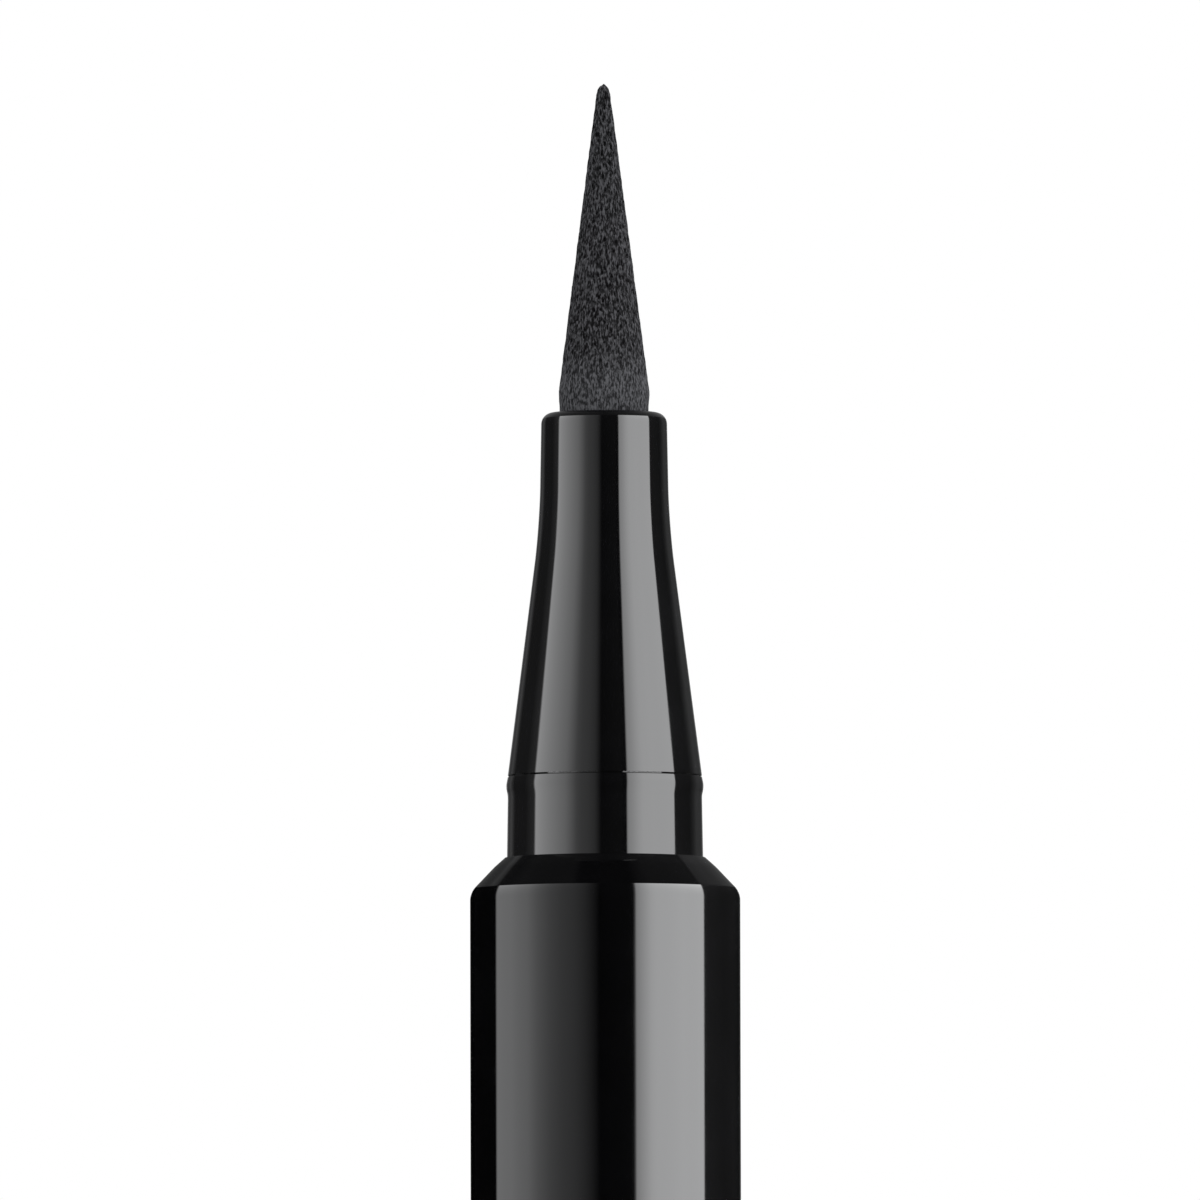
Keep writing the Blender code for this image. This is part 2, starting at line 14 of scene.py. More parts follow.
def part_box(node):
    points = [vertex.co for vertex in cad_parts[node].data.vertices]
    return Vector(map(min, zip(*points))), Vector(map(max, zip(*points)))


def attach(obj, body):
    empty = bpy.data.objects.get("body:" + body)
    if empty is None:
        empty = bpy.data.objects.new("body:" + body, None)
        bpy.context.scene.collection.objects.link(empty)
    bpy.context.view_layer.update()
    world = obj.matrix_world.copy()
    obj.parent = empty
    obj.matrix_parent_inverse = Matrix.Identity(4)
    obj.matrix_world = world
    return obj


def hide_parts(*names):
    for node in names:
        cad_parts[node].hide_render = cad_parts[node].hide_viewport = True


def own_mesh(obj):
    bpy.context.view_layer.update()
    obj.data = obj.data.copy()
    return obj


MM = 0.001

# How finely round pieces are turned, and how they are shaded
SIDES = 256
INNER_SIDES = 96
ROUND_STEPS = 10
SMOOTH_ANGLE = math.radians(32)

# Small sizes that pieces have in common. HOLD is how far past a round its holding point lies
WELD = 0.0001 * MM
HOLD = 0.03 * MM
SEAT_GAP = 0.1 * MM
EDGE_ROUND = 0.15 * MM
FINE_EDGE = 0.04 * MM

# Outer barrel, with the 45 degree shoulder that the tail plug repeats
BARREL_BORE_R = 4.38 * MM
MOUTH_R = 3.98 * MM
MOUTH_DEPTH = 2.0 * MM
SHOULDER_BEND = 0.29 * MM
LIP_R = 4.42 * MM
LIP_DROP = 0.39 * MM
LIP_BEND = 0.12 * MM

# Inner barrel, with the collar and its click bead that the tail plug repeats
TANK_R = 3.25 * MM
TANK_BASE = 1.2 * MM
NECK_R = 3.92 * MM
NECK_STEP = 2.1 * MM
COLLAR_TOP_R = 3.88 * MM
COLLAR_LENGTH = 2.46 * MM
BEAD_R = 3.94 * MM
BEAD_LENGTH = 0.76 * MM
BEAD_RAMP = 0.3 * MM
BEAD_FOOT_BEND = 0.12 * MM
BEAD_TOP_BEND = 0.06 * MM

# Nozzle. Its base is drawn a little low, which narrows the seam under it
NOZZLE_LENGTH = 14.52 * MM
NOZZLE_BASE_DROP = 0.01 * MM
NOZZLE_HEAD = 3.0 * MM
NOZZLE_HEAD_R = 2.51 * MM
NOZZLE_HEAD_BASE_R = 2.565 * MM
NOZZLE_BEND = 1.5 * MM
NOZZLE_CREST_ROUND = 0.45 * MM
NOZZLE_PLUG_R = 3.17 * MM
NOZZLE_BORE_R = 2.42 * MM
NOZZLE_LAND = 8.3 * MM
NOZZLE_RIB_PLACE = 1.6 * MM
NOZZLE_RIB_WIDTH = 0.5 * MM
NOZZLE_RIB_RISE = 0.04 * MM
TIP_HOLE_R = 1.86 * MM

# Felt tip
TIP_R = 1.78 * MM
TIP_STRAIGHT = 0.86 * MM
TIP_CONE = 12.32 * MM
TIP_POINT_R = 0.25 * MM
TIP_POINT_LENGTH = 0.42 * MM
TIP_POINT_SHARES = ((0.8, 0.57), (0.4, 0.2))
TIP_SOCKET = 1.9 * MM
TIP_REAR_CHAMFER = 0.2 * MM
TIP_SIDES = 288
TIP_CONE_CUTS = 83
TIP_CONE_SPLITS = 2
TIP_STRAIGHT_CUTS = 16
TIP_POINT_CUTS = 4

# The felt's surface, in millimetres: heights over the nozzle's crest from which and up to which it
# changes, and how deep its relief is
FELT_ROUGHENS = (0.15, 0.65)
FELT_PITS_START = (1.05, 2.85)
FELT_SMOOTH_FOOT = (2.65, 0.85)
FELT_POINT_STARTS = (12.05, 12.85)
FELT_LUMPS = 0.05
FELT_GRAIN = 0.035
FELT_PIT_DEPTH = 0.06
FELT_SWELL = 0.028

# Wick, tip holder and ink collector
WICK_R = 1.0 * MM
WICK_HOLE_R = 1.08 * MM
WICK_CHAMFER = 0.15 * MM
HOLDER_R = 2.34 * MM
HOLDER_SEAT = 2.7 * MM
AIR_GROOVES = 3
AIR_GROOVE_WIDTH = 0.7 * MM
AIR_GROOVE_DEPTH = 0.22 * MM
FIN_R = 3.17 * MM
CORE_R = 1.88 * MM
FIN_COUNT = 13
FIN_PITCH = 1.5 * MM
FIN_THICKNESS = 0.7 * MM
SEAL_COLLAR = 3.0 * MM
SEAL_RIBS = 2
SEAL_RIB_WIDTH = 0.5 * MM
SEAL_RIB_RISE = 0.04 * MM
COLLECTOR_DISC = 1.0 * MM
INK_SLOT = 0.4 * MM
INK_SLOT_FLOOR = 1.48 * MM
AIR_SLOT = 0.9 * MM

# Tail plug
TAIL_DEPTH = 5.0 * MM
TAIL_WALL = 0.9 * MM
TAIL_END = 1.2 * MM
TAIL_PLUG_R = 4.3 * MM
SPIGOT_LENGTH = 7.0 * MM
SPIGOT_R = 3.68 * MM
SPIGOT_ROUND = 0.6 * MM

# Cap, its liner, the sealing cup and the spring
CAP_END = 1.6 * MM
CAP_END_ROUND = 0.8 * MM
CAP_RIM_R = 5.195 * MM
CAP_RIM_BEND = 0.07 * MM
CAP_BORE_R = 4.58 * MM
BOSS_R = 1.9 * MM
BOSS_HEIGHT = 0.9 * MM
LINER_R = 4.5 * MM
LINER_BORE_R = 4.1 * MM
LINER_LEAD_DEPTH = 0.3 * MM
LINER_LEAD_WIDTH = 0.25 * MM
SNAP_RING_RISE = 0.12 * MM
SNAP_RING_LENGTH = 0.7 * MM
SNAP_RAMP = 0.21 * MM
CUP_R = 3.205 * MM
CUP_BORE_R = 2.605 * MM
CUP_END = 0.8 * MM
CUP_ROUND = 0.6 * MM
CUP_FLANGE = 0.8 * MM
CUP_FLANGE_R = 4.5 * MM
CUP_MOUTH_CHAMFER = 0.25 * MM
SPRING_R = 2.18 * MM
SPRING_WIRE_R = 0.2 * MM
SPRING_WIRE_SIDES = 16
SPRING_TURNS = 5
SPRING_STEPS = 72
SPRING_SMOOTH_ANGLE = math.radians(60)

# Colours, as red, green, blue and alpha
GLOSS_BLACK = (0.0002, 0.0002, 0.0003, 1)
GLOSS_BLACK_CLOUD = (0.0005, 0.0005, 0.0007, 1)
FELT_DARK = (0.0038, 0.0038, 0.0041, 1)
FELT_LIGHT = (0.046, 0.0462, 0.0497, 1)
FELT_CLOUD = (0.013, 0.013, 0.014, 1)
FELT_FOOT_DARK = (0.0105, 0.0107, 0.0116, 1)
FELT_FOOT_LIGHT = (0.061, 0.062, 0.0666, 1)
# Painted shade, put into the felt's pits and pores
FELT_PIT_SHADE = (0.0012, 0.0012, 0.0013, 1)
SATIN_DARK = (0.01, 0.01, 0.011, 1)
SATIN_LIGHT = (0.015, 0.015, 0.016, 1)
MILKY_DARK = (0.68, 0.7, 0.67, 1)
MILKY_LIGHT = (0.76, 0.765, 0.74, 1)
WICK_DARK = (0.018, 0.018, 0.021, 1)
WICK_LIGHT = (0.085, 0.085, 0.092, 1)
WICK_SOAKED = (0.03, 0.03, 0.034, 1)
STEEL_DARK = (0.6, 0.6, 0.61, 1)
STEEL_LIGHT = (0.64, 0.64, 0.65, 1)
FLOOR_DARK = (0.31, 0.31, 0.31, 1)
FLOOR_LIGHT = (0.33, 0.33, 0.33, 1)
TENT_WHITE = (0.985, 0.99, 1.0, 1)

# Refraction, roughness and depth of relief of the finishes
PLASTIC_IOR = 1.5
FIBRE_IOR = 1.4
BARREL_HAZE = 0.02
NOZZLE_HAZE = 0.03
GLOSS_ROUGHNESS = 0.045
GLOSS_STREAKS = 0.012
GLOSS_WAVE = 0.00006 * MM
FIBRE_RELIEF = 0.03 * MM
MOULD_RELIEF = 0.004 * MM
SCRATCH_RELIEF = 0.003 * MM

# Camera: 48 mm of the pen's height fill the picture, seen from a little below
VIEW_DISTANCE = 1.2
VIEW_WIDTH = 48.0 * MM
VIEW_HEIGHT = 141.05 * MM
VIEW_RISE = math.radians(3.1)
VIEW_SIDE = 0.18 * MM
VIEW_ROLL = math.radians(-0.126)
VIEW_BACK = Vector((0, -math.cos(VIEW_RISE), -math.sin(VIEW_RISE)))
SENSOR = 36.0
NEAREST = 0.01

# The floor, and the soft light on matt faces with the share more that the right side gets
FLOOR_RADIUS = 8.0
FLOOR_SIDES = 128
FLOOR_ROUGHNESS = 0.6
SOFT_LIGHT = 2.6
SOFT_RIGHT_SHARE = 0.35

# The light tents round the pen
TENT_RADIUS = 3.0
TENT_GAP = 0.1
TENT_CENTRE = 0.14
TENT_SEGMENTS = 64
TENT_RINGS = 32

# Where the tents' boxes end low down behind the pen, and half the soft edge under their crown
TENT_LOW_TILT = (-0.2, -0.25)
TENT_BEHIND = (-0.2, 0.1)
CROWN_EDGE = 0.015

# Each tent's brightness by twice a face's angle round the pen, in degrees: the upright soft boxes,
# then the crown for faces that look up more steeply than its reach
NOZZLE_STRIPS = {
    -180: 0.3, -168: 0.25, -158: 0.07, -146: 0.2, -134: 0.05, -108: 0.1, -92: 0.33,
    -90.5: 4.8, -76: 4.2, -62: 3.5, -48: 2.67, -40: 1.78, -34: 1.1, -28: 0.85, -20: 0.72,
    -12: 0.5, -5: 0.05, 20: 0.08, 25.5: 0.03, 27: 4.7, 32: 5.3, 40: 6.65, 46: 7.3, 60: 7.3,
    76: 6.8, 90: 6.2, 91: 0.15, 120: 0.06, 138: 0.17, 158: 0.07, 170: 0.25, 180: 0.35,
}
NOZZLE_CROWN = {-180: 0.3, -90: 0.25, 0: 0.1, 90: 0.25, 180: 0.3}
NOZZLE_REACH = math.radians(30)
BARREL_STRIPS = {
    -180: 0.15, -166: 0.0, -108: 0.01, -106.5: 2.2, -88: 2.6, -70: 2.3, -60: 1.62, -48: 1.08,
    -38: 0.8, -26: 0.6, -18: 0.4, -5: 0.02, 20: 0.04, 25: 0.06, 26.5: 4.5, 32: 5.85, 40: 7.7,
    45: 8.1, 70: 8.1, 93: 6.9, 94: 0.17, 120: 0.07, 160: 0.01, 180: 0.15,
}
BARREL_CROWN = {
    -180: 0.15, -157: 0.09, -140: 0.08, -128: 0.09, -119: 0.18, -112: 0.12, -109: 0.03,
    -95: 0.03, -80: 0.06, -30: 0.07, -23: 0.025, 22: 0.025, 30: 0.06, 40: 0.09, 84: 0.07,
    91: 0.06, 94: 0.16, 110: 0.155, 119: 0.125, 157: 0.11, 180: 0.12,
}
BARREL_REACH = math.radians(35.5)

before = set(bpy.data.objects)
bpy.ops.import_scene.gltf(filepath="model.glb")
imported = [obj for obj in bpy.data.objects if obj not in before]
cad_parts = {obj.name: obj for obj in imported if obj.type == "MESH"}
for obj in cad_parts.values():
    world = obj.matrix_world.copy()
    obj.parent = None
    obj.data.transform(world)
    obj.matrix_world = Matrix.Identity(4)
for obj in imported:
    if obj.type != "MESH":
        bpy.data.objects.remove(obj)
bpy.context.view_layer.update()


class Wire:
    """One output in a node tree. Arithmetic on wires and numbers adds Math nodes."""

    def __init__(self, tree, socket=None):
        self.tree = tree
        self.socket = socket

    def node(self, kind, settings=None, inputs=None, output=0):
        """Adds a node of any kind: its settings first, then its inputs. Gives one of its outputs."""
        made = self.tree.nodes.new(kind)
        for name, setting in (settings or {}).items():
            if name == "stops":
                set_stops(made.color_ramp, setting)
            else:
                setattr(made, name, setting)
        for name, given in (inputs or {}).items():
            if isinstance(given, Wire):
                self.tree.links.new(given.socket, made.inputs[name])
            else:
                made.inputs[name].default_value = given
        return Wire(self.tree, made.outputs[output] if made.outputs else None)

    def math(self, operation, *values):
        """A Math node, on this wire alone or on the values given."""
        return self.node("ShaderNodeMath", {"operation": operation}, dict(enumerate(values or [self])))

    def __add__(self, other):
        return self.math("ADD", self, other)

    def __sub__(self, other):
        return self.math("SUBTRACT", self, other)

    def __rsub__(self, other):
        return self.math("SUBTRACT", other, self)

    def __mul__(self, other):
        return self.math("MULTIPLY", self, other)

    def __truediv__(self, other):
        return self.math("DIVIDE", self, other)

    __radd__ = __add__
    __rmul__ = __mul__

    def stretched(self, *factors):
        """A place with its three axes multiplied."""
        return self.node("ShaderNodeVectorMath", {"operation": "MULTIPLY"}, {0: self, 1: factors})

    def axis(self, letter):
        return self.node("ShaderNodeSeparateXYZ", inputs={0: self}, output=letter)

    def noise(self, scale, detail=2.0, roughness=0.5):
        """A cloud of 0 to 1, with so many lumps to a unit of the place."""
        inputs = {"Vector": self, "Scale": scale, "Detail": detail, "Roughness": roughness}
        return self.node("ShaderNodeTexNoise", inputs=inputs)

    def eased(self, low, high):
        """0 below one value, 1 above the other and a soft step between. low may be the larger one."""
        inputs = {"Value": self, "From Min": low, "From Max": high}
        return self.node("ShaderNodeMapRange", {"interpolation_type": "SMOOTHSTEP"}, inputs)

    def blend(self, first, second):
        """Mixes two colours, with the second one where this wire is 1."""
        inputs = {0: self, 6: first, 7: second}
        return self.node("ShaderNodeMix", {"data_type": "RGBA"}, inputs, output=2)


def set_stops(ramp, stops):
    """Gives a ramp its stops, as {position: brightness}."""
    while len(ramp.elements) > 1:
        ramp.elements.remove(ramp.elements[-1])
    places = sorted(stops)
    ramp.elements[0].position = places[0]
    for place in places[1:]:
        ramp.elements.new(place)
    for element, place in zip(ramp.elements, places):
        element.color = (stops[place],) * 3 + (1,)


def finish(name, constants):
    """A Principled material with its constant values, and the place on the piece in millimetres."""
    material = bpy.data.materials.new(name)
    material.use_nodes = True
    shader = material.node_tree.nodes["Principled BSDF"]
    for key, value in constants.items():
        shader.inputs[key].default_value = value
    place = Wire(material.node_tree).node("ShaderNodeTexCoord", output="Object")
    return material, place.stretched(1 / MM, 1 / MM, 1 / MM)


def feed(material, key, wire):
    """Links a wire to one of the material's Principled inputs."""
    shader = material.node_tree.nodes["Principled BSDF"]
    material.node_tree.links.new(wire.socket, shader.inputs[key])


def feed_bump(material, height, depth):
    """Raises the surface by a height of 0 to 1, so many metres deep."""
    inputs = {"Strength": 1.0, "Distance": depth, "Height": height}
    feed(material, "Normal", height.node("ShaderNodeBump", inputs=inputs))


def gloss_black(name, haze):
    """Polished black: near a mirror, with a faint cloudy haze and the least waviness of the mould."""
    material, place = finish(name, {"IOR": PLASTIC_IOR})
    cloud = place.noise(scale=0.35, detail=3.0)
    streaks = place.stretched(9.0, 9.0, 0.5).noise(scale=1.0, detail=4.0, roughness=0.6)
    roughness = GLOSS_ROUGHNESS + haze * cloud.eased(0.4, 0.7) + GLOSS_STREAKS * streaks
    feed(material, "Base Color", cloud.eased(0.3, 0.8).blend(GLOSS_BLACK, GLOSS_BLACK_CLOUD))
    feed(material, "Roughness", roughness)
    feed_bump(material, place.noise(scale=0.9, detail=1.0), GLOSS_WAVE)
    return material


def over_crest(heights):
    """Heights over the nozzle's crest, as heights on the pen, both in millimetres."""
    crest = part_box("nozzle")[1].z / MM
    return [crest + height for height in heights]


def charcoal_felt():
    """Sintered fibre soaked with ink: matte charcoal and a fine upright grain, with painted shade
    darkening its short pits and pores.
    """
    material, place = finish("charcoal_felt", {"IOR": FIBRE_IOR, "Specular IOR Level": 0.03})
    upright = place.stretched(1.0, 1.0, 0.35)
    grain = upright.noise(scale=14.0, detail=2.0, roughness=0.6)
    mottle = place.stretched(1.0, 1.0, 0.6).noise(scale=2.6, detail=3.0)
    foot = place.axis("Z").eased(*over_crest(FELT_SMOOTH_FOOT))
    pits = place.node("ShaderNodeAttribute", {"attribute_name": "pit"}, output="Fac")
    cells = {"Vector": upright, "Scale": 11.0}
    pores = place.node("ShaderNodeTexVoronoi", inputs=cells, output="Distance").eased(0.5, 0.2)
    fibre = grain.eased(0.4, 0.62).blend(FELT_DARK, FELT_LIGHT)
    clouded = (0.12 * mottle.eased(0.35, 0.7)).blend(fibre, FELT_CLOUD)
    smooth = grain.eased(0.38, 0.64).blend(FELT_FOOT_DARK, FELT_FOOT_LIGHT)
    body = (0.85 * foot).blend(clouded, smooth)
    # Painted shade: the pits and the pores are darkened in the colour, where shade in them would fall
    dark = pits.math("MAXIMUM", 0.95 * pits, 0.75 * pores * (1 - 0.7 * foot))
    feed(material, "Base Color", dark.blend(body, FELT_PIT_SHADE))
    feed(material, "Roughness", 0.85 - 0.15 * grain)
    feed_bump(material, grain, FIBRE_RELIEF)
    return material


def satin_black():
    """Satin black plastic with the fine even grain of an etched mould."""
    material, place = finish("satin_black_liner", {"IOR": PLASTIC_IOR})
    grain = place.noise(scale=22.0, detail=3.0, roughness=0.6)
    feed(material, "Base Color", grain.eased(0.3, 0.7).blend(SATIN_DARK, SATIN_LIGHT))
    feed(material, "Roughness", 0.34 + 0.14 * grain)
    feed_bump(material, grain, MOULD_RELIEF)
    return material


def natural_plastic(name):
    """Undyed plastic: milky white, a little uneven where it is thick, with faint flow lines."""
    material, place = finish(name, {
        "IOR": PLASTIC_IOR,
        "Subsurface Weight": 0.15,
        "Subsurface Scale": 0.6 * MM,
    })
    cloud = place.noise(scale=0.6, detail=3.0)
    flow = place.stretched(3.0, 3.0, 0.4).noise(scale=1.0, detail=4.0, roughness=0.6)
    feed(material, "Base Color", cloud.eased(0.3, 0.7).blend(MILKY_DARK, MILKY_LIGHT))
    feed(material, "Roughness", 0.36 + 0.16 * flow)
    feed_bump(material, flow, MOULD_RELIEF)
    return material


def inked_fibre():
    """Drawn fibres along the wick, dark with ink, with the lighter backs of single fibres."""
    material, place = finish("inked_fibre_wick", {"IOR": FIBRE_IOR, "Specular IOR Level": 0.3})
    strands = place.stretched(1.0, 1.0, 0.03).noise(scale=18.0, detail=3.0, roughness=0.7)
    soaked = place.stretched(1.0, 1.0, 0.3).noise(scale=1.2, detail=2.0)
    shade = strands.eased(0.35, 0.7).blend(WICK_DARK, WICK_LIGHT)
    feed(material, "Base Color", (0.6 * soaked.eased(0.4, 0.7)).blend(shade, WICK_SOAKED))
    feed(material, "Roughness", 0.9 - 0.25 * strands)
    feed_bump(material, strands, FIBRE_RELIEF)
    return material


def steel(name, polish, upright):
    """Bare steel with fine scratches. polish is its least roughness.

    upright multiplies the scratches' heights: 1 leaves them as wide as tall, less draws them out.
    """
    material, place = finish(name, {"Metallic": 1.0})
    fine = place.stretched(1.0, 1.0, upright).noise(scale=14.0, detail=4.0, roughness=0.7)
    cloud = place.noise(scale=0.8, detail=2.0)
    feed(material, "Base Color", cloud.eased(0.3, 0.7).blend(STEEL_DARK, STEEL_LIGHT))
    feed(material, "Roughness", polish + 0.12 * fine)
    feed_bump(material, fine, SCRATCH_RELIEF)
    return material


def deselect():
    bpy.ops.object.select_all(action="DESELECT")


def near(place, other):
    return (place - other).length < WELD


def pick(test):
    """Selects, in edit mode, the corners whose place passes the test, and what they span."""
    mesh = bmesh.from_edit_mesh(bpy.context.object.data)
    for corner in mesh.verts:
        corner.select = test(corner.co)
    mesh.select_flush_mode()
    bmesh.update_edit_mesh(bpy.context.object.data)


def drawn(name, outline, rounds):
    """Draws an outline of (radius, height) in edit mode, corner by corner, then rounds its corners.

    An outline that starts on the axis ends on it. Any other is closed into a loop. rounds gives, by
    a corner's number, how far from the corner its round starts. A point just beyond each round
    keeps the faces there flat right up to it.
    """
    places = [Vector((radius, 0, height)) for radius, height in outline]
    onwards = places[1:] if outline[0][0] == 0 else places[1:] + places[:1]
    deselect()
    bpy.ops.mesh.primitive_plane_add(size=MM)
    bpy.context.object.name = name
    bpy.context.object.data.name = name
    bpy.ops.object.mode_set(mode="EDIT")
    bpy.ops.mesh.merge(type="CENTER")
    bpy.ops.transform.translate(value=places[0])
    for number, there in enumerate(onwards):
        way = there - places[number]
        after = rounds.get(number, 0)
        before = rounds.get((number + 1) % len(places), 0)
        stops = [0, way.length]
        if after + before + 3 * HOLD < way.length:
            stops += [after + HOLD] if after else []
            stops += [way.length - before - HOLD] if before else []
        stops.sort()
        for near_stop, far_stop in zip(stops, stops[1:]):
            step = way.normalized() * (far_stop - near_stop)
            bpy.ops.mesh.extrude_vertices_move(TRANSFORM_OT_translate={"value": step})
    bpy.ops.mesh.select_all(action="SELECT")
    bpy.ops.mesh.remove_doubles(threshold=WELD)
    for number, reach in rounds.items():
        pick(lambda place: near(place, places[number]))
        bpy.ops.mesh.bevel(offset=reach, segments=ROUND_STEPS, affect="VERTICES")


def spun(sides):
    """Spins the outline in hand about the pen's axis, closes it and leaves edit mode."""
    bpy.ops.mesh.select_all(action="SELECT")
    bpy.ops.mesh.spin(steps=sides, angle=math.tau, center=(0, 0, 0), axis=(0, 0, 1))
    bpy.ops.mesh.select_all(action="SELECT")
    bpy.ops.mesh.remove_doubles(threshold=WELD)
    bpy.ops.mesh.normals_make_consistent(inside=False)
    bpy.ops.object.mode_set(mode="OBJECT")
    return bpy.context.object


def turned(name, outline, rounds, sides=SIDES):
    """A turned piece with rounded corners."""
    drawn(name, outline, rounds)
    piece = spun(sides)
    bpy.ops.object.shade_smooth_by_angle(angle=SMOOTH_ANGLE)
    return piece


def slotted(piece, low, high, turn=0.0):
    """Cuts a slot with a box from one corner to the other, turned about the pen's axis."""
    deselect()
    bpy.ops.mesh.primitive_cube_add(size=1)
    cutter = bpy.context.object
    bpy.ops.object.mode_set(mode="EDIT")
    bpy.ops.transform.resize(value=high - low)
    bpy.ops.transform.translate(value=(low + high) / 2)
    bpy.ops.transform.rotate(value=turn, orient_axis="Z", center_override=(0, 0, 0))
    bpy.ops.object.mode_set(mode="OBJECT")
    bpy.context.view_layer.objects.active = piece
    bpy.ops.object.modifier_add(type="BOOLEAN")
    piece.modifiers[-1].operation = "DIFFERENCE"
    piece.modifiers[-1].object = cutter
    bpy.ops.object.modifier_apply(modifier=piece.modifiers[-1].name)
    bpy.data.objects.remove(cutter)


def installed(piece, node, body, material):
    """Puts a finished piece in its solid's place, on its body and in its finish."""
    piece.data.materials.append(material)
    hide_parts(node)
    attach(piece, body)
    return piece


def barrel_sleeve():
    """The outer barrel: a plain tube with a 45 degree shoulder and the mouth for the collar."""
    low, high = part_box("outer_barrel")
    outer = high.x
    return turned("barrel_sleeve", [
        (BARREL_BORE_R, low.z),
        (outer, low.z),
        (outer, high.z - (outer - MOUTH_R)),
        (LIP_R, high.z - LIP_DROP),
        (MOUTH_R, high.z),
        (MOUTH_R, high.z - MOUTH_DEPTH),
        (BARREL_BORE_R, high.z - MOUTH_DEPTH),
    ], {1: EDGE_ROUND, 2: SHOULDER_BEND, 3: LIP_BEND, 4: FINE_EDGE})


def tank_and_collar():
    """The inner barrel. Its neck is the collar, with the click bead that the cap snaps over."""
    low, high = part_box("inner_barrel")
    seat = high.z - COLLAR_LENGTH - BEAD_LENGTH
    bead = seat + COLLAR_LENGTH
    return turned("tank_and_collar", [
        (0, low.z),
        (high.x, low.z),
        (high.x, seat - NECK_STEP),
        (NECK_R, seat - NECK_STEP),
        (NECK_R, seat),
        (COLLAR_TOP_R, bead),
        (BEAD_R, bead + BEAD_RAMP),
        (BEAD_R, high.z - BEAD_RAMP),
        (COLLAR_TOP_R, high.z),
        (TANK_R, high.z),
        (TANK_R, low.z + TANK_BASE),
        (0, low.z + TANK_BASE),
    ], {
        1: high.x - TANK_R, 2: EDGE_ROUND, 4: FINE_EDGE, 5: BEAD_FOOT_BEND,
        6: BEAD_TOP_BEND, 7: BEAD_TOP_BEND, 8: FINE_EDGE,
    })


def nozzle_taper():
    """The nozzle: a short upright head, a hollow curve and a long straight taper to the seam."""
    low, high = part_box("nozzle")
    base = high.z - NOZZLE_LENGTH
    head = high.z - NOZZLE_HEAD
    draft = (NOZZLE_HEAD_BASE_R - NOZZLE_HEAD_R) / NOZZLE_HEAD
    rib = low.z + NOZZLE_RIB_PLACE
    return turned("nozzle_taper", [
        (NOZZLE_BORE_R, low.z),
        (NOZZLE_PLUG_R, low.z),
        (NOZZLE_PLUG_R, rib),
        (NOZZLE_PLUG_R + NOZZLE_RIB_RISE, rib + NOZZLE_RIB_WIDTH / 2),
        (NOZZLE_PLUG_R, rib + NOZZLE_RIB_WIDTH),
        (NOZZLE_PLUG_R, base - NOZZLE_BASE_DROP),
        (COLLAR_TOP_R, base - NOZZLE_BASE_DROP),
        (NOZZLE_HEAD_BASE_R + draft * NOZZLE_BEND, head - NOZZLE_BEND),
        (NOZZLE_HEAD_R, high.z),
        (TIP_HOLE_R, high.z),
        (TIP_HOLE_R, high.z - NOZZLE_LAND),
        (NOZZLE_BORE_R, high.z - NOZZLE_LAND),
    ], {1: EDGE_ROUND, 7: NOZZLE_BEND, 8: NOZZLE_CREST_ROUND, 9: FINE_EDGE})


def felt_relief():
    """Nodes that pit and roughen the felt tip, and store where the pits are, so that its colour can
    paint shade into them.
    """
    tree = bpy.data.node_groups.new("felt_relief", "GeometryNodeTree")
    tree.interface.new_socket("Geometry", in_out="INPUT", socket_type="NodeSocketGeometry")
    tree.interface.new_socket("Geometry", in_out="OUTPUT", socket_type="NodeSocketGeometry")
    felt = Wire(tree).node("NodeGroupInput")
    place = felt.node("GeometryNodeInputPosition").stretched(1 / MM, 1 / MM, 1 / MM)
    normal = felt.node("GeometryNodeInputNormal")
    height = place.axis("Z")
    cells = {"Vector": place.stretched(1.0, 1.0, 0.42), "Scale": 6.5}
    pits = felt.node("ShaderNodeTexVoronoi", inputs=cells, output="Distance").eased(0.4, 0.24)
    scattered = place.noise(scale=1.7, detail=2.0).eased(0.25, 0.5)
    pits = pits * scattered * height.eased(*over_crest(FELT_PITS_START))
    lumps = place.noise(scale=2.2, detail=2.0) - 0.5
    grain = place.stretched(1.0, 1.0, 0.35).noise(scale=9.0, detail=2.0) - 0.5
    point = height.eased(*over_crest(FELT_POINT_STARTS)) + 1
    relief = FELT_LUMPS * lumps * point + FELT_GRAIN * grain - FELT_PIT_DEPTH * pits + FELT_SWELL
    depth = relief * height.eased(*over_crest(FELT_ROUGHENS)) * MM
    push = normal.node("ShaderNodeVectorMath", {"operation": "SCALE"}, {0: normal, "Scale": depth})
    moved = felt.node("GeometryNodeSetPosition", inputs={"Geometry": felt, "Offset": push})
    stored = felt.node(
        "GeometryNodeStoreNamedAttribute",
        {"data_type": "FLOAT", "domain": "POINT"},
        {"Geometry": moved, "Name": "pit", "Value": pits},
    )
    felt.node("NodeGroupOutput", inputs={"Geometry": stored})
    return tree


